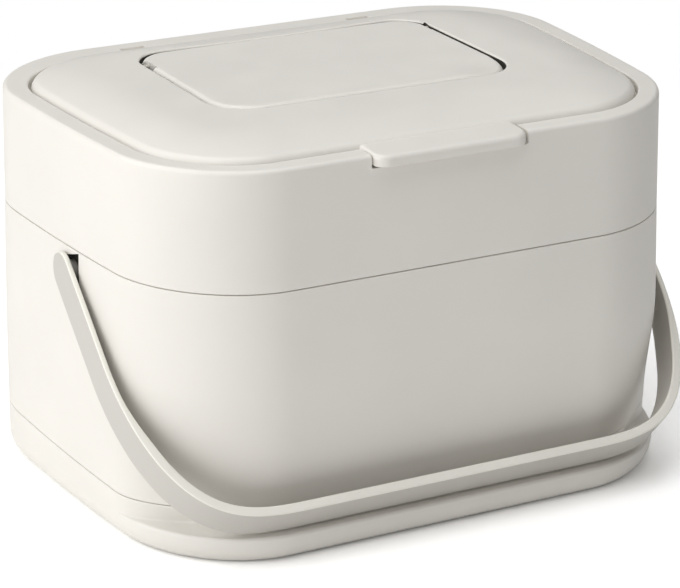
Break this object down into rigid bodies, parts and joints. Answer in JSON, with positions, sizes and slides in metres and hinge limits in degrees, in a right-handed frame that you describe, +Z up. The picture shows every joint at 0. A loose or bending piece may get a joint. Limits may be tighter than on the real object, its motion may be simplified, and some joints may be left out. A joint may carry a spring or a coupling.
{
  "type": "compost caddy",
  "caption": "Kitchen compost caddy: flared bucket on a base tray, lift-off rim collar, hinged lid with a covered filter compartment, and a swinging strap handle.",
  "frame": {"origin": "centre of the body's plan on the floor it stands on", "axes": "+Z up, front with the finger tab towards -Y, +X to the right seen from the front"},
  "size_m": [0.2474, 0.1943, 0.1596],
  "materials": {
    "shell": "fine satin moulding, warm off-white",
    "inner": "satin moulding",
    "filter": "charcoal felt",
    "foot": "matt non-slip",
    "pin": "smooth moulding"
  },
  "bodies": {
    "bucket": {"bucket": "shell", "base_tray": "shell", "foot_front_left": "foot", "foot_front_right": "foot", "foot_rear_left": "foot", "foot_rear_right": "foot", "pivot_pin_left": "pin", "pivot_pin_right": "pin"},
    "rim": {"rim_collar": "shell", "lid_pin_left": "pin", "lid_pin_right": "pin"},
    "lid": {"lid_shell": "shell", "lid_liner": "inner", "filter_pad": "filter", "cover_pin_left": "pin", "cover_pin_right": "pin"},
    "cover": {"filter_cover": "shell"},
    "handle": {"handle": "shell"}
  },
  "joints": [
    {"name": "rim_lift", "type": "slide", "parent": "bucket", "child": "rim", "axis": [0, 0, 1], "range_m": [0, 0.004]},
    {"name": "lid_hinge", "type": "hinge", "parent": "rim", "child": "lid", "pos_m": [0, 0.081, 0.1525], "axis": [-1, 0, 0], "range_deg": [0, 92]},
    {"name": "cover_hinge", "type": "hinge", "parent": "lid", "child": "cover", "pos_m": [0, 0.044, 0.1574], "axis": [-1, 0, 0], "range_deg": [0, 100]},
    {"name": "handle_swing", "type": "hinge", "parent": "bucket", "child": "handle", "pos_m": [0, -0.0085, 0.0975], "axis": [-1, 0, 0], "range_deg": [0, 132]}
  ]
}
